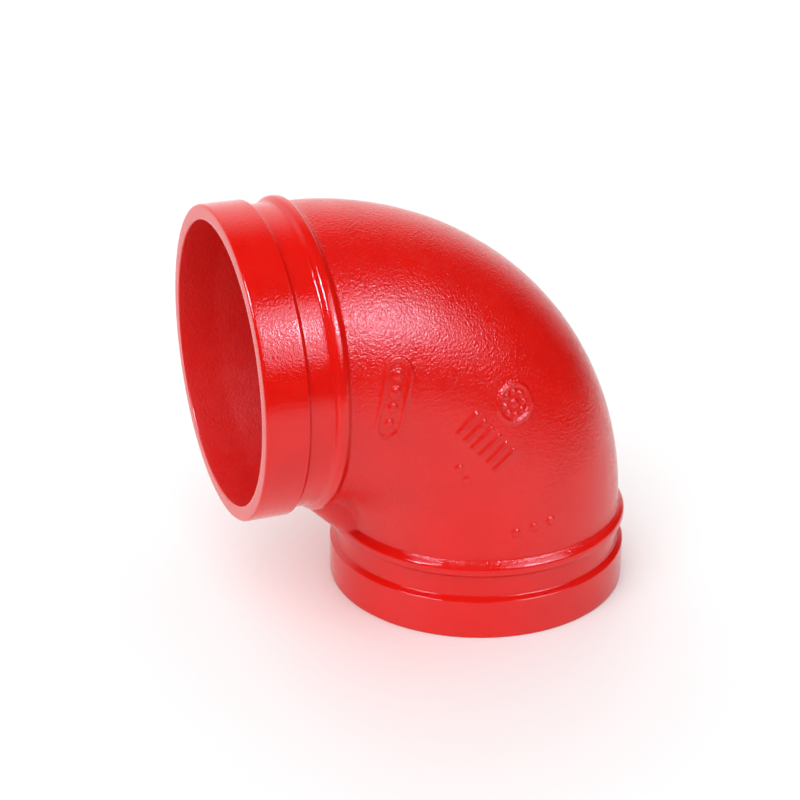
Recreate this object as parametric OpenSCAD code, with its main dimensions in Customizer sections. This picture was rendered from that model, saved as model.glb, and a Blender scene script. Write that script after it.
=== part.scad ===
// Grooved-end pipe elbow: 90 degrees, short radius, 4 inch (DN 100), one ductile-iron casting.
// All sizes are in millimetres. The origin is the centre of the lower end's face, +Z runs up that
// end's axis into the elbow, and the other end faces -X. Both ends are alike.

/* [Pipe ends] */
// Outside diameter of both ends, where the coupling's gasket seals
end_od = 114.3; // [113.5:0.1:115.4]
// Inside diameter at both ends
end_bore_d = 103.2; // [101:0.2:105]
// Depth of the straight end bore, before it narrows evenly to the waterway
end_bore_depth = 14.5; // [10:0.5:16]
// Radius of the end face's rounded outer edge
rim_round = 0.9; // [0.3:0.1:1.5]

/* [Groove] */
// Distance from the end face to the middle of the groove's near wall
seat_length = 15.9; // [15.1:0.1:16.6]
// Width of the groove, from its near wall to the bead
groove_width = 9.5; // [8.5:0.1:10.5]
// Diameter of the groove's floor
groove_d = 110.1; // [109.4:0.1:111]
// Length over which each wall of the groove slopes
wall_slope = 1.4; // [0.4:0.1:2]

/* [Bead] */
// Diameter over the raised bead behind the groove
bead_d = 114.5; // [112.5:0.1:117]
// Width of the bead's flat crest
bead_crest = 2.8; // [1:0.1:4]
// Length over which the bead falls to the body
bead_fall = 2.3; // [0.5:0.1:4]

/* [Bend] */
// Distance from each end's face to the other end's axis
centre_to_end = 101.6; // [99:0.2:120]
// Outside diameter of the body round the bend
body_d = 109.5; // [107:0.1:111]
// Diameter of the waterway round the bend
waterway_d = 99.5; // [96:0.1:100.5]

/* [Throat web] */
// Radius of the round back of the web that joins the two beads across the throat
web_r = 12.5; // [10:0.1:22]

/* [Foundry marks] */
// Height of the raised marks
mark_height = 0.7; // [0.3:0.1:1.2]
// Outside diameter of the ring mark
ring_mark_d = 15; // [10:0.5:18]
// Length of the upright oval mark
oval_mark_length = 30; // [16:0.5:34]
// Width of the upright oval mark
oval_mark_width = 10.5; // [8:0.5:14]
// Width of the raised lines and bars
mark_line = 1.4; // [0.8:0.1:2]
// Diameter of the raised dots
mark_dot = 3.2; // [2:0.1:4]

/* [Hidden] */
$fn = 96;

end_r = end_od / 2;
groove_r = groove_d / 2;
bead_r = bead_d / 2;
body_r = body_d / 2;
waterway_r = waterway_d / 2;
end_bore_r = end_bore_d / 2;
// Distances from an end face, in order: the groove's near wall, the bead, and the start of the bend
wall_start = seat_length - wall_slope / 2;
wall_end = seat_length + wall_slope / 2;
bead_foot = seat_length + groove_width - wall_slope / 2;
bead_start = bead_foot + wall_slope;
bead_end = bead_start + bead_crest;
bend_start = bead_end + bead_fall;
bend_r = centre_to_end - bend_start;
// The web runs in line with both beads' front edges and stops just behind them
web_reach = (bead_r - bead_start) / sqrt(2);
web_overlap = 0.5;
web_start = bead_start + web_overlap;
rim_steps = 6;
// How far a cutting shape runs past what it cuts
clear = 1;

// The marks' smaller parts: how many, how large and how far apart
oval_dots = 4;
ring_dots = 8;
ring_dot = ring_mark_d / 10;
ring_dot_reach = 0.28 * ring_mark_d;
ring_middle_dot = ring_mark_d / 6;
tally_bars = 6;
tally_pitch = 4.4;
tally_length = 10.5;
pair_dots = 2;
pair_pitch = 6;
line_dots = 3;
line_pitch = 7;

// Places of the marks on the body, as [turn, around, spin] in degrees (see on_body)
oval_mark_at = [78, 87, 0];
ring_mark_at = [45, 72, 0];
tally_mark_at = [45, 90, -4];
pair_mark_at = [42, 105, -12];
line_mark_at = [10, 90, 90];

// Outline of one end, from the axis out: the rounded rim, the seat, the groove and the bead
module end_outline() {
    rim = [for (i = [0:rim_steps]) let (a = 90 * i / rim_steps)
        [end_r - rim_round + rim_round * sin(a), rim_round - rim_round * cos(a)]];
    rest = [
        [end_r, wall_start],
        [groove_r, wall_end],
        [groove_r, bead_foot],
        [bead_r, bead_start],
        [bead_r, bead_end],
        [body_r, bend_start],
        [0, bend_start]
    ];
    polygon(concat([[0, 0]], rim, rest));
}

// Outline of one end's waterway: the straight end bore, then a long taper up to the bend
module mouth_outline() {
    polygon([
        [0, -clear],
        [end_bore_r, -clear],
        [end_bore_r, end_bore_depth],
        [waterway_r, bend_start],
        [0, bend_start]
    ]);
}

// Places an end's shape at the lower end and at the end that faces -X
module both_ends() {
    rotate_extrude() children();
    translate([-centre_to_end, 0, centre_to_end])
        rotate([0, 90, 0])
            rotate_extrude() children();
}

// A quarter of a torus from the lower end to the other one
module bend(r) {
    translate([-bend_r, 0, bend_start])
        rotate([90, 0, 0])
            rotate_extrude(angle = 90)
                translate([bend_r, 0])
                    circle(r = r);
}

// The web across the throat, cut off just behind the front edges of both beads
module throat_web() {
    intersection() {
        translate([-centre_to_end + web_start, -web_r - clear, web_start])
            cube([centre_to_end, 2 * (web_r + clear), centre_to_end]);
        translate([-web_reach / sqrt(2), 0, -web_reach / sqrt(2)])
            translate([-centre_to_end / 2, 0, centre_to_end / 2])
                rotate([0, -45, 0])
                    translate([web_r, 0, 0])
                        cylinder(r = web_r, h = 2 * centre_to_end, center = true);
    }
}

// Stands a flat mark on the body at [turn, around, spin]. Turn goes round the bend from the lower
// end, around goes round the section from the outside of the bend, and spin turns the mark itself
module on_body(at) {
    translate([-bend_r, 0, bend_start])
        rotate([0, -at[0], 0])
            translate([bend_r, 0, 0])
                rotate([0, 0, -at[1]])
                    rotate([0, 90, 0])
                        rotate([0, 0, at[2]])
                            linear_extrude(height = body_r + 2 * mark_height)
                                children();
}

// Repeats a shape in a row along X, centred
module row(count, pitch) {
    for (i = [0:count - 1])
        translate([(i - (count - 1) / 2) * pitch, 0]) children();
}

// An oval of the given length and width, standing along Y
module oval(length, width) {
    square([width, length - width], center = true);
    for (side = [-1, 1])
        translate([0, side * (length - width) / 2]) circle(d = width);
}

// An upright oval rim with a column of dots in it
module oval_mark() {
    difference() {
        oval(oval_mark_length, oval_mark_width);
        oval(oval_mark_length - 2 * mark_line, oval_mark_width - 2 * mark_line);
    }
    rotate(90) row(oval_dots, oval_mark_length / (oval_dots + 1)) circle(d = mark_dot);
}

// A rim with a ring of small dots in it and a dot in the middle, like a foundry's date clock
module ring_mark() {
    difference() {
        circle(d = ring_mark_d);
        circle(d = ring_mark_d - 2 * mark_line);
    }
    circle(d = ring_middle_dot);
    for (i = [0:ring_dots - 1])
        rotate(i * 360 / ring_dots) translate([ring_dot_reach, 0]) circle(d = ring_dot);
}

// All the raised marks on the front of the body, cut to the body's own curve
module marks() {
    intersection() {
        bend(body_r + mark_height);
        union() {
            on_body(oval_mark_at) oval_mark();
            on_body(ring_mark_at) ring_mark();
            on_body(tally_mark_at)
                row(tally_bars, tally_pitch) square([mark_line, tally_length], center = true);
            on_body(pair_mark_at) row(pair_dots, pair_pitch) circle(d = mark_dot);
            on_body(line_mark_at) row(line_dots, line_pitch) circle(d = mark_dot);
        }
    }
}

// The whole casting
module elbow_casting() {
    color([0.85, 0.1, 0.08])
        difference() {
            union() {
                both_ends() end_outline();
                bend(body_r);
                throat_web();
                marks();
            }
            both_ends() mouth_outline();
            bend(waterway_r);
        }
}

elbow_casting();
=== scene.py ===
"""Looks of the grooved pipe elbow: one painted iron casting, a plain pale floor and soft studio light.

The casting is one closed mesh. Its skin is a loop of stations (the outside from the lower end to
the side end, the side end's face, the inside back, the lower end's face) crossed with angles round
the pipe. Each point of that grid gets its place from the same sizes as the CAD model, and then the
throat web, the raised foundry marks and the unevenness of the cast surface.
"""

import math

import bpy
from mathutils import Matrix, Vector, noise


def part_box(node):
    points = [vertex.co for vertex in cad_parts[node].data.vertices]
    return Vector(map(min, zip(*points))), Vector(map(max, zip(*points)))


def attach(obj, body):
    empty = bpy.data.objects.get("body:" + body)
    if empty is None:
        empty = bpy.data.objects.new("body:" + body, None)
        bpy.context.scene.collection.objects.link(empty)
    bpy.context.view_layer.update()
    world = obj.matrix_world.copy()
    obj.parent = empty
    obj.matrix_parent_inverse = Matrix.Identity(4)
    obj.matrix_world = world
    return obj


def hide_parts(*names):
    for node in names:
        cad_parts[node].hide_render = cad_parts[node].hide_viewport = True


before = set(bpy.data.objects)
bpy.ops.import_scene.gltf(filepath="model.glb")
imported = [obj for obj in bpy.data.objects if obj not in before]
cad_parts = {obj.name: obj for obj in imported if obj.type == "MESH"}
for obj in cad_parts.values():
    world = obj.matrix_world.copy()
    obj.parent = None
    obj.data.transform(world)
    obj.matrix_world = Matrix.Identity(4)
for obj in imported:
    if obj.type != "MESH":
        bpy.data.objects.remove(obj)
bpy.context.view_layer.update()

MM = 0.001
CASTING = "elbow_casting"

# Sizes in millimetres, as in the CAD model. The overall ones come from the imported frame
low_corner, high_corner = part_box(CASTING)
CENTRE_TO_END = -low_corner.x / MM
BEAD_R = high_corner.z / MM - CENTRE_TO_END
END_R = 57.15
END_BORE_R = 51.6
END_BORE_DEPTH = 14.5
WALL_START = 15.2
WALL_END = 16.6
GROOVE_R = 55.05
BEAD_FOOT = 24.7
BEAD_START = 26.1
BEAD_END = 28.9
BEND_START = 31.2
BODY_R = 54.75
WATERWAY_R = 49.75
BEND_R = CENTRE_TO_END - BEND_START
BEND_LENGTH = BEND_R * math.pi / 2
PATH_LENGTH = 2 * BEND_START + BEND_LENGTH
# Where the outside's outline meets the inside's, part of the way across an end's face
FACE_MEETING = 2.5
FACE_MEETING_R = END_BORE_R + FACE_MEETING

# How round each corner of the outline is, from the end's face to the body, and then in the bore
RIM_ROUND = 0.9
SEAT_EDGE_ROUND = 0.55
GROOVE_NEAR_ROUND = 0.7
GROOVE_FAR_ROUND = 1.0
BEAD_FRONT_ROUND = 1.6
BEAD_BACK_ROUND = 1.9
BODY_EDGE_ROUND = 1.8
MOUTH_ROUND = 0.5
TAPER_ROUND = 30.0

# The web across the throat: a round back whose outline is a straight line between the beads
WEB_R = 12.5
WEB_REACH = (BEAD_R - BEAD_START) / math.sqrt(2)
WEB_BLEND = 2.2

# The raised marks, as in the CAD model, and the width over which their edges rise
MARK_HEIGHT = 0.7
MARK_LINE = 1.4
MARK_DOT = 3.2
MARK_SOFTNESS = 0.28
OVAL_LENGTH = 30.0
OVAL_WIDTH = 10.5
OVAL_DOTS = 4
RING_D = 15.0
RING_DOTS = 8
TALLY_BARS = 6
TALLY_PITCH = 4.4
TALLY_LENGTH = 10.5
PAIR_DOTS = 2
PAIR_PITCH = 6.0
LINE_DOTS = 3
LINE_PITCH = 7.0

# The cast skin's unevenness: how wide and how high each kind is, and a shift between the patterns
SWELL_WIDTH = 26.0
SWELL_HEIGHT = 0.11
HAMMER_WIDTH = 4.2
HAMMER_HEIGHT = 0.014
HAMMER_SHIFT = Vector((9, 3, 5))
GRAIN_WIDTH = 2.1
GRAIN_HEIGHT = 0.010
GRAIN_SHIFT = Vector((2, 8, 1))
SWELL_FALLOFF = 1.0
SWELL_SPACING = 2.0
SWELL_OCTAVES = 2
# The share of the swell left on the pipe ends, and the share of all the unevenness left inside
END_SHARE = 0.25
BORE_SHARE = 0.6
# How cast the end bore is, from 0 like the pipe's end to 1 like the body
MOUTH_CAST = 0.3
# Where the unevenness fades in behind an end's face, outside and inside
OUTER_FADE = (0.0, 3.0)
INNER_FADE = (0.5, 4.0)

# A fillet this narrow is none, and a ray this close to the web's own direction misses it
NO_FILLET = 1e-6
ALONG_THE_WEB = 1e-9

# The grid: cells round the pipe, the longest cell along it, and the finer cells in one cell by a mark
ANGLES = 264
BODY_STEP = 1.3
BORE_STEP = 3.0
FINE = 3

# The paint's material slots on the mesh
BODY_ZONE, END_ZONE, BORE_ZONE = range(3)

RED = (0.74, 0.0080, 0.0042)
DEEP_RED = (0.68, 0.006, 0.004)
DULL_RED = (0.70, 0.010, 0.006)
PALE = (0.93, 0.93, 0.93)
COOL_WHITE = (0.78, 0.97, 1.2)

# The paint's patterns, in cells to the metre
PATCH_SCALE = 55
GLOSS_SCALE = 180
LEATHER_SCALE = 1050
GRAIN_SCALE = 2300
# The stretch of each pattern that is used, and how far the gloss strays either way
PATCH_RANGE = (0.35, 0.75)
GLOSS_RANGE = (0.3, 0.7)
GLOSSIER = 0.04
DULLER = 0.05
PAINT_IOR = 1.46
# A Mix node's sockets for colours, by number because their names repeat
MIX_FACTOR, MIX_FIRST, MIX_SECOND = 0, 6, 7
MIX_RESULT = 2

CAMERA_AZIMUTH = -21.239
CAMERA_ELEVATION = 24.320
CAMERA_DISTANCE = 0.738
CAMERA_TARGET = Vector((-0.0318, 0, 0.0760))
LENS = 88.79
SENSOR = 36

# The room's brightness in front and behind, and the directions' Y between which one turns into the other
FRONT_LIGHT = 0.015
BACKDROP_LIGHT = 1.15
BACKDROP_EDGE = (0.45, 0.80)
BOX_TARGET = Vector((-0.03, 0, 0.08))
BOX_DISTANCE = 1.2
TABLE_R = 0.42
TABLE_X = -0.03
TABLE_SIDES = 96
FLOOR_HALF = 40.0
FLOOR_DROP = 0.0002
FLOOR_ROUGHNESS = 0.6
FILL_DISTANCE = 2


# ---------- small helpers ----------

def smoothstep(low, high, x):
    """0 below low, 1 above high, smooth between them."""
    t = min(max((x - low) / (high - low), 0.0), 1.0)
    return t * t * (3 - 2 * t)


def smooth_max(a, b, width):
    """The larger of a and b, with a fillet of that width where they cross."""
    if width < NO_FILLET:
        return max(a, b)
    h = max(width - abs(a - b), 0.0) / width
    return max(a, b) + h * h * width / 4


def towards(azimuth, elevation):
    """The direction of an azimuth, which starts at the front, and an elevation, both in degrees."""
    azimuth, elevation = math.radians(azimuth), math.radians(elevation)
    level = math.cos(elevation)
    return Vector((math.sin(azimuth) * level, -math.cos(azimuth) * level, math.sin(elevation)))


def evenly(points, step):
    """The same outline with extra points wherever a stretch is longer than step."""
    out = [points[0]]
    for a, b in zip(points, points[1:]):
        count = max(1, math.ceil(math.dist(a, b) / step))
        for i in range(1, count + 1):
            out.append((a[0] + (b[0] - a[0]) * i / count, a[1] + (b[1] - a[1]) * i / count))
    return out


def arc(before, corner, after):
    """The points that round off one (s, r, radius) corner. The radius shrinks where it wouldn't fit."""
    nearly_straight = math.radians(89)
    most_of_half = 0.49
    arc_step = math.radians(15)
    here = Vector(corner[:2])
    back = Vector(before[:2]) - here
    ahead = Vector(after[:2]) - here
    half = back.angle(ahead) / 2
    if corner[2] <= 0 or half > nearly_straight:
        return [tuple(here)]
    reach = min(corner[2] / math.tan(half), most_of_half * back.length, most_of_half * ahead.length)
    radius = reach * math.tan(half)
    centre = here + (back.normalized() + ahead.normalized()).normalized() * radius / math.sin(half)
    first = here + back.normalized() * reach - centre
    last = here + ahead.normalized() * reach - centre
    sweep = first.angle_signed(last)
    count = max(3, math.ceil(abs(sweep) / arc_step))
    return [tuple(centre + Matrix.Rotation(-sweep * i / count, 2) @ first) for i in range(count + 1)]


def rounded(corners, step):
    """An open outline through (s, r, radius) corners, each one rounded, with no stretch over step."""
    points = [corners[0][:2]]
    for before, corner, after in zip(corners, corners[1:], corners[2:]):
        points += arc(before, corner, after)
    points.append(corners[-1][:2])
    return evenly(points, step)


def mirrored(half):
    """A half outline from the lower end, followed by its mirror image up to the side end."""
    return half + [(PATH_LENGTH - s, r) for s, r in reversed(half[:-1])]


# ---------- the skin's outline ----------

def outer_half():
    """From the lower end's face to the middle of the bend, along the outside."""
    corners = [
        (0.0, FACE_MEETING_R, 0.0),
        (0.0, END_R, RIM_ROUND),
        (WALL_START, END_R, SEAT_EDGE_ROUND),
        (WALL_END, GROOVE_R, GROOVE_NEAR_ROUND),
        (BEAD_FOOT, GROOVE_R, GROOVE_FAR_ROUND),
        (BEAD_START, BEAD_R, BEAD_FRONT_ROUND),
        (BEAD_END, BEAD_R, BEAD_BACK_ROUND),
        (BEND_START, BODY_R, BODY_EDGE_ROUND),
        (PATH_LENGTH / 2, BODY_R, 0.0),
    ]
    return rounded(corners, BODY_STEP)


def inner_half():
    """From the lower end's face to the middle of the bend, along the inside."""
    corners = [
        (0.0, FACE_MEETING_R, 0.0),
        (0.0, END_BORE_R, MOUTH_ROUND),
        (END_BORE_DEPTH, END_BORE_R, TAPER_ROUND),
        (BEND_START, WATERWAY_R, TAPER_ROUND),
        (PATH_LENGTH / 2, WATERWAY_R, 0.0),
    ]
    return rounded(corners, BORE_STEP)


def skin_loop():
    """The closed loop of stations as (distance along the path, radius, 1 outside or 0 inside)."""
    outside = [(s, r, 1.0) for s, r in mirrored(outer_half())]
    inside = [(s, r, 0.0) for s, r in mirrored(inner_half())]
    return outside + inside[-2:0:-1]


# ---------- places on the pipe ----------

def section(s):
    """The centre of the pipe at a distance along its path, and the way out from the bend there."""
    if s < BEND_START:
        return Vector((0, 0, s)), Vector((1, 0, 0))
    if s > BEND_START + BEND_LENGTH:
        past = s - BEND_START - BEND_LENGTH
        return Vector((-BEND_R - past, 0, CENTRE_TO_END)), Vector((0, 0, 1))
    turn = (s - BEND_START) / BEND_R
    out = Vector((math.cos(turn), 0, math.sin(turn)))
    return Vector((-BEND_R, 0, BEND_START)) + BEND_R * out, out


def around_direction(out, angle):
    """The way from the section's centre to the skin. The angle starts outside the bend, towards -Y."""
    return math.cos(angle) * out - math.sin(angle) * Vector((0, 1, 0))


def web_radius(centre, direction):
    """How far along a ray from the section's centre the web's round back lies, or 0 if it misses."""
    outward = Vector((-1, 0, -1)).normalized()
    start = centre.dot(outward) - (WEB_REACH - WEB_R)
    lean = direction.dot(outward)
    a = lean * lean + direction.y * direction.y
    b = start * lean
    c = start * start - WEB_R * WEB_R
    inside = b * b - a * c
    if a < ALONG_THE_WEB or inside <= 0 or lean <= 0:
        return 0.0
    return (-b + math.sqrt(inside)) / a


# ---------- the raised foundry marks, each as a height from 0 to 1 over its own X and Y ----------

def line_height(distance):
    """Height of a raised line or dot at a distance inside its edge (negative is outside)."""
    return smoothstep(-MARK_SOFTNESS, MARK_SOFTNESS, distance)


def dot(x, y, diameter=MARK_DOT):
    """A round dot."""
    return line_height(diameter / 2 - math.hypot(x, y))


def bar(x, y):
    """One upright bar of the tally."""
    return line_height(min(MARK_LINE / 2 - abs(x), TALLY_LENGTH / 2 - abs(y)))


def rim(outline_distance):
    """A raised line just inside an outline, from the distance inside that outline."""
    return line_height(MARK_LINE / 2 - abs(outline_distance - MARK_LINE / 2))


def row_of(shape, x, y, count, pitch):
    """A shape repeated along X, centred."""
    nearest = round(x / pitch + (count - 1) / 2)
    nearest = min(max(nearest, 0), count - 1)
    return shape(x - (nearest - (count - 1) / 2) * pitch, y)


def oval_mark(x, y):
    """An upright oval rim with a column of dots."""
    straight = (OVAL_LENGTH - OVAL_WIDTH) / 2
    outline = OVAL_WIDTH / 2 - math.hypot(x, max(abs(y) - straight, 0.0))
    column = row_of(dot, y, x, OVAL_DOTS, OVAL_LENGTH / (OVAL_DOTS + 1))
    return max(rim(outline), column)


def ring_mark(x, y):
    """A round rim with a ring of small dots and one in the middle."""
    dot_reach, small_dot, middle_dot = 0.28 * RING_D, RING_D / 10, RING_D / 6
    reach = math.hypot(x, y)
    sector = 2 * math.pi / RING_DOTS
    angle = math.atan2(y, x)
    angle -= round(angle / sector) * sector
    ring = dot(reach * math.cos(angle) - dot_reach, reach * math.sin(angle), small_dot)
    return max(rim(RING_D / 2 - reach), ring, dot(x, y, middle_dot))


def tally_mark(x, y):
    """A row of bars."""
    return row_of(bar, x, y, TALLY_BARS, TALLY_PITCH)


def pair_mark(x, y):
    """Two dots side by side."""
    return row_of(dot, x, y, PAIR_DOTS, PAIR_PITCH)


def line_mark(x, y):
    """A line of dots."""
    return row_of(dot, x, y, LINE_DOTS, LINE_PITCH)


# Each mark's turn along the bend, place around the section and spin in degrees, and its reach in mm
MARKS = [
    (oval_mark, 78, 87, 0, 17.0),
    (ring_mark, 45, 72, 0, 9.0),
    (tally_mark, 45, 90, -4, 14.0),
    (pair_mark, 42, 105, -12, 6.5),
    (line_mark, 10, 90, 90, 10.0),
]


def mark_frames():
    """The middle of each mark on the body, its normal, X and Y directions, its shape and its reach."""
    frames = []
    for shape, turn, around, spin, reach in MARKS:
        centre, out = section(BEND_START + BEND_R * math.radians(turn))
        normal = around_direction(out, math.radians(around))
        along = Vector((-out.z, 0, out.x))
        across = normal.cross(along)
        lean = math.radians(spin)
        x_way = -math.cos(lean) * along - math.sin(lean) * across
        y_way = normal.cross(x_way)
        frames.append((centre, normal, x_way, y_way, shape, reach))
    return frames


def mark_height(point, frames):
    """The height of the marks over a point of the body, from 0 to 1."""
    height = 0.0
    for centre, normal, x_way, y_way, shape, reach in frames:
        offset = point - centre
        x, y = offset.dot(x_way), offset.dot(y_way)
        if offset.dot(normal) > 0 and max(abs(x), abs(y)) < reach:
            height = max(height, shape(x, y))
    return height


def near_mark(point, frames):
    """Whether a point of the body is close enough to a mark to need the fine grid."""
    nearby = (-BODY_STEP, 0, BODY_STEP)
    for centre, normal, x_way, y_way, shape, reach in frames:
        offset = point - centre
        x, y = offset.dot(x_way), offset.dot(y_way)
        if offset.dot(normal) < 0 or max(abs(x), abs(y)) > reach:
            continue
        if any(shape(x + dx, y + dy) > 0 for dx in nearby for dy in nearby):
            return True
    return False


# ---------- the cast surface ----------

def unevenness(point, cast):
    """How far the cast skin stands off its true shape, in millimetres. cast is 0 on the pipe ends."""
    swell = noise.fractal(point / SWELL_WIDTH, SWELL_FALLOFF, SWELL_SPACING, SWELL_OCTAVES) * SWELL_HEIGHT
    hammer = noise.noise(point / HAMMER_WIDTH + HAMMER_SHIFT) * HAMMER_HEIGHT
    grain = noise.noise(point / GRAIN_WIDTH + GRAIN_SHIFT) * GRAIN_HEIGHT
    return (END_SHARE + (1 - END_SHARE) * cast) * swell + cast * (hammer + grain)


def outside_radius(end, r, centre, direction, frames):
    """The outside's radius with the web, the marks and the cast surface. end is the way to an end."""
    if end > BEAD_START:
        fillet = WEB_BLEND * smoothstep(BEAD_START, BEND_START + 2, end)
        r = smooth_max(r, web_radius(centre, direction), fillet)
    if end > BEND_START:
        r += MARK_HEIGHT * mark_height(centre + direction * r, frames)
    cast = smoothstep(BEAD_END - 1, BEND_START + 1, end)
    return r + unevenness(centre + direction * r, cast) * smoothstep(*OUTER_FADE, end)


def inside_radius(end, r, centre, direction):
    """The inside's radius with the cast surface, which is fainter there and stops at the mouth."""
    cast = MOUTH_CAST + (1 - MOUTH_CAST) * smoothstep(END_BORE_DEPTH, END_BORE_DEPTH + 6, end)
    return r + BORE_SHARE * unevenness(centre + direction * r, cast) * smoothstep(*INNER_FADE, end)


def skin_point(s, r, outside, angle, frames):
    """Where one point of the skin lies, in millimetres."""
    centre, out = section(s)
    direction = around_direction(out, angle)
    end = min(s, PATH_LENGTH - s)
    if outside > 0.5:
        return centre + direction * outside_radius(end, r, centre, direction, frames)
    return centre + direction * inside_radius(end, r, centre, direction)


def zone_of(a, b):
    """Which paint the strip of the skin between two stations takes."""
    middle = (a[0] + b[0]) / 2
    end = min(middle, PATH_LENGTH - middle)
    if min(a[2], b[2]) < 0.5 and end > 0.3:
        return BORE_ZONE
    return BODY_ZONE if end > BEND_START - 1 else END_ZONE


class Skin:
    """The casting's closed mesh: the coarse grid, with FINE by FINE cells wherever a mark is near."""

    def __init__(self):
        self.loop = skin_loop()
        self.frames = mark_frames()
        self.stations = len(self.loop)
        self.angle_step = 2 * math.pi / ANGLES
        self.fine = self.fine_cells()
        self.verts = []
        self.numbers = {}
        self.faces = []
        self.zones = []
        for i in range(self.stations):
            self.add_strip(i)

    def fine_cells(self):
        """The cells of the body's outside that lie near a mark."""
        fine = set()
        for i, (s, r, outside) in enumerate(self.loop):
            if outside < 0.5 or not BEND_START < s < PATH_LENGTH - BEND_START:
                continue
            centre, out = section(s)
            for j in range(ANGLES):
                direction = around_direction(out, (j + 0.5) * self.angle_step)
                if near_mark(centre + direction * BODY_R, self.frames):
                    fine.add((i, j))
        return fine

    def is_fine(self, i, j):
        """Whether a cell is split. The grid closes on itself both ways."""
        return (i % self.stations, j % ANGLES) in self.fine

    def vertex(self, i, j):
        """The number of the vertex at a place on the fine lattice, made when it is first asked for."""
        key = (i % (self.stations * FINE), j % (ANGLES * FINE))
        if key not in self.numbers:
            base, part = divmod(key[0], FINE)
            a, b = self.loop[base], self.loop[(base + 1) % self.stations]
            t = part / FINE
            s, r, outside = (a[k] + (b[k] - a[k]) * t for k in range(3))
            angle = (key[1] / FINE) * self.angle_step
            self.numbers[key] = len(self.verts)
            self.verts.append(skin_point(s, r, outside, angle, self.frames) * MM)
        return self.numbers[key]

    def add_face(self, corners, zone):
        """One face through places on the fine lattice."""
        self.faces.append(tuple(self.vertex(*corner) for corner in corners))
        self.zones.append(zone)

    def add_strip(self, i):
        """All the cells between one station and the next."""
        zone = zone_of(self.loop[i], self.loop[(i + 1) % self.stations])
        for j in range(ANGLES):
            if (i, j) in self.fine:
                self.add_fine_cell(i, j, zone)
            else:
                self.add_coarse_cell(i, j, zone)

    def add_fine_cell(self, i, j, zone):
        """A cell split into FINE by FINE faces."""
        for a in range(i * FINE, (i + 1) * FINE):
            for b in range(j * FINE, (j + 1) * FINE):
                self.add_face([(a, b), (a + 1, b), (a + 1, b + 1), (a, b + 1)], zone)

    def add_coarse_cell(self, i, j, zone):
        """A cell of one face, which takes in its split neighbours' points so that no gap opens."""
        left, low = i * FINE, j * FINE
        sides = [
            (self.is_fine(i, j - 1), [(left + k, low) for k in range(FINE)]),
            (self.is_fine(i + 1, j), [(left + FINE, low + k) for k in range(FINE)]),
            (self.is_fine(i, j + 1), [(left + FINE - k, low + FINE) for k in range(FINE)]),
            (self.is_fine(i - 1, j), [(left, low + FINE - k) for k in range(FINE)]),
        ]
        corners = []
        for split, places in sides:
            corners += places if split else places[:1]
        self.add_face(corners, zone)


# ---------- materials ----------

def node(tree, kind, **values):
    """A shader node with some of its properties or inputs set."""
    made = tree.nodes.new(kind)
    for name, value in values.items():
        if hasattr(made, name):
            setattr(made, name, value)
        else:
            made.inputs[name.replace("_", " ")].default_value = value
    return made


def mapped_noise(tree, coordinates, scale, detail, roughness=0.55):
    """A noise pattern over the given coordinates."""
    made = node(tree, "ShaderNodeTexNoise", Scale=scale, Detail=detail, Roughness=roughness)
    tree.links.new(coordinates, made.inputs["Vector"])
    return made.outputs["Fac"]


def spread(tree, value, low, high, to_low, to_high):
    """Stretches the part of a value between low and high over another range."""
    made = node(tree, "ShaderNodeMapRange", From_Min=low, From_Max=high, To_Min=to_low, To_Max=to_high)
    tree.links.new(value, made.inputs["Value"])
    return made.outputs["Result"]


def bumped(tree, height, depth, normal=None):
    """Relief of a depth in millimetres, over another relief if one is given."""
    made = node(tree, "ShaderNodeBump", Strength=1.0, Distance=depth * MM)
    tree.links.new(height, made.inputs["Height"])
    if normal is not None:
        tree.links.new(normal, made.inputs["Normal"])
    return made.outputs["Normal"]


def enamel(name, colour, dark, roughness, leather, grain):
    """Glossy red paint over cast iron. leather and grain are the depths of the two scales of relief."""
    material = bpy.data.materials.new(name)
    material.use_nodes = True
    tree = material.node_tree
    shader = tree.nodes["Principled BSDF"]
    place = node(tree, "ShaderNodeTexCoord").outputs["Object"]

    tint = node(tree, "ShaderNodeMix", data_type="RGBA")
    tint.inputs[MIX_FIRST].default_value = (*colour, 1)
    tint.inputs[MIX_SECOND].default_value = (*dark, 1)
    patches = spread(tree, mapped_noise(tree, place, PATCH_SCALE, detail=4), *PATCH_RANGE, 0.0, 1.0)
    tree.links.new(patches, tint.inputs[MIX_FACTOR])
    tree.links.new(tint.outputs[MIX_RESULT], shader.inputs["Base Color"])

    worn = mapped_noise(tree, place, GLOSS_SCALE, detail=3)
    gloss = spread(tree, worn, *GLOSS_RANGE, roughness - GLOSSIER, roughness + DULLER)
    tree.links.new(gloss, shader.inputs["Roughness"])

    wide = mapped_noise(tree, place, LEATHER_SCALE, detail=1.0, roughness=0.5)
    coarse = bumped(tree, wide, leather)
    narrow = mapped_noise(tree, place, GRAIN_SCALE, detail=1.0, roughness=0.5)
    fine = bumped(tree, narrow, grain, coarse)
    tree.links.new(fine, shader.inputs["Normal"])
    shader.inputs["IOR"].default_value = PAINT_IOR
    return material


def plain(name, colour, roughness):
    """A material for the studio's floor."""
    material = bpy.data.materials.new(name)
    material.use_nodes = True
    shader = material.node_tree.nodes["Principled BSDF"]
    shader.inputs["Base Color"].default_value = (*colour, 1)
    shader.inputs["Roughness"].default_value = roughness
    return material


# ---------- the casting ----------

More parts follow.
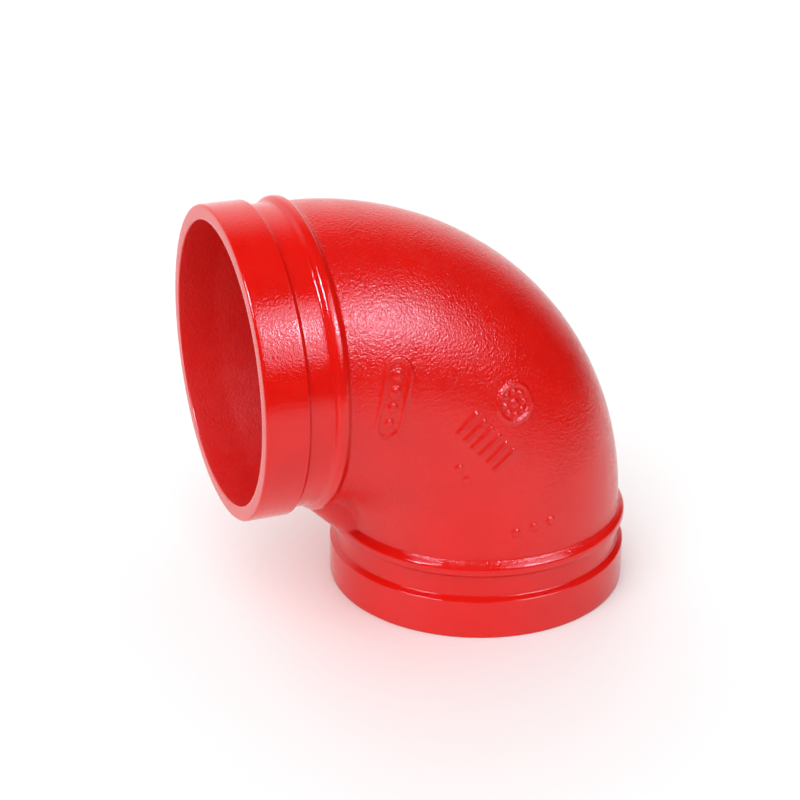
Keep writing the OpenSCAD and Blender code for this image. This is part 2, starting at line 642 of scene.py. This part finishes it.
def make_casting():
    """The painted casting, which stands for the CAD node."""
    skin = Skin()
    mesh = bpy.data.meshes.new("painted_elbow")
    mesh.from_pydata(skin.verts, [], skin.faces)
    # In the order of the zones: the body, the ends and the bore
    mesh.materials.append(enamel("body_enamel", RED, DEEP_RED, roughness=0.16, leather=0.21, grain=0.09))
    mesh.materials.append(enamel("end_enamel", RED, DEEP_RED, roughness=0.10, leather=0.08, grain=0.04))
    mesh.materials.append(enamel("bore_enamel", DULL_RED, DEEP_RED, roughness=0.42, leather=0.13, grain=0.07))
    mesh.polygons.foreach_set("material_index", skin.zones)
    mesh.shade_smooth()
    mesh.update()
    piece = bpy.data.objects.new("painted_elbow", mesh)
    bpy.context.scene.collection.objects.link(piece)
    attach(piece, "root")
    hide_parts(CASTING)


# ---------- the studio ----------

def stage(name, outline, material):
    """One flat piece of the studio."""
    mesh = bpy.data.meshes.new(name)
    mesh.from_pydata(outline, [], [tuple(range(len(outline)))])
    mesh.materials.append(material)
    piece = bpy.data.objects.new(name, mesh)
    bpy.context.scene.collection.objects.link(piece)
    return piece


def make_floor():
    """A plain pale table top, and a floor of the same colour that isn't mirrored in the paint."""
    pale = plain("pale_floor", PALE, FLOOR_ROUGHNESS)
    turns = [2 * math.pi * i / TABLE_SIDES for i in range(TABLE_SIDES)]
    table = [(TABLE_R * math.cos(a) + TABLE_X, TABLE_R * math.sin(a), 0) for a in turns]
    stage("table_top", table, pale)
    half = FLOOR_HALF
    square = [(-half, -half), (half, -half), (half, half), (-half, half)]
    stage("floor", [(x, y, -FLOOR_DROP) for x, y in square], pale).visible_glossy = False


def make_camera():
    """The camera stands in front of the elbow, a little to its left and above it."""
    back = towards(CAMERA_AZIMUTH, CAMERA_ELEVATION)
    data = bpy.data.cameras.new("camera")
    data.lens = LENS
    data.sensor_width = SENSOR
    camera = bpy.data.objects.new("camera", data)
    camera.location = CAMERA_TARGET + back * CAMERA_DISTANCE
    camera.rotation_euler = (-back).to_track_quat("-Z", "Y").to_euler()
    bpy.context.scene.collection.objects.link(camera)
    bpy.context.scene.camera = camera


def make_world():
    """A white backdrop behind the elbow and a dark front. Seen directly, all of it is white."""
    world = bpy.data.worlds.new("studio")
    world.use_nodes = True
    tree = world.node_tree
    background = tree.nodes["Background"]
    background.inputs["Color"].default_value = (1, 1, 1, 1)
    direction = node(tree, "ShaderNodeTexCoord").outputs["Generated"]
    parts = node(tree, "ShaderNodeSeparateXYZ")
    tree.links.new(direction, parts.inputs["Vector"])
    behind = spread(tree, parts.outputs["Y"], *BACKDROP_EDGE, FRONT_LIGHT, BACKDROP_LIGHT)
    seen = node(tree, "ShaderNodeLightPath").outputs["Is Camera Ray"]
    strength = node(tree, "ShaderNodeMix", B=BACKDROP_LIGHT)
    tree.links.new(seen, strength.inputs["Factor"])
    tree.links.new(behind, strength.inputs["A"])
    tree.links.new(strength.outputs["Result"], background.inputs["Strength"])
    bpy.context.scene.world = world
    bpy.context.scene.view_settings.view_transform = "Standard"


def soft_box(name, azimuth, elevation, side, radiance):
    """A square soft box that is mirrored in the paint and doesn't shade it."""
    light = bpy.data.lights.new(name, "AREA")
    light.size = side
    light.energy = radiance * math.pi * side * side
    light.color = COOL_WHITE
    lamp = bpy.data.objects.new(name, light)
    lamp.location = BOX_TARGET + BOX_DISTANCE * towards(azimuth, elevation)
    lamp.rotation_euler = (lamp.location - BOX_TARGET).to_track_quat("Z", "Y").to_euler()
    lamp.visible_diffuse = False
    bpy.context.scene.collection.objects.link(lamp)


def fill(name, azimuth, elevation, width, strength):
    """Soft light, width degrees across, that shades the casting and isn't mirrored in its paint."""
    light = bpy.data.lights.new(name, "SUN")
    light.energy = strength
    light.angle = math.radians(width)
    lamp = bpy.data.objects.new(name, light)
    lamp.location = FILL_DISTANCE * towards(azimuth, elevation)
    lamp.rotation_euler = lamp.location.to_track_quat("Z", "Y").to_euler()
    lamp.visible_glossy = False
    bpy.context.scene.collection.objects.link(lamp)


def light_the_room():
    """A broad box with a brighter middle at the right, a small one at the left, and two even fills."""
    make_world()
    soft_box("right_box", azimuth=32, elevation=36, side=0.84, radiance=4.2)
    soft_box("right_lamp", azimuth=29, elevation=36, side=0.25, radiance=24)
    soft_box("left_box", azimuth=-76, elevation=42, side=0.30, radiance=80)
    fill("overhead_fill", azimuth=0, elevation=90, width=140, strength=2.05)
    fill("front_fill", azimuth=-38, elevation=44, width=60, strength=1.72)


make_casting()
make_floor()
make_camera()
light_the_room()
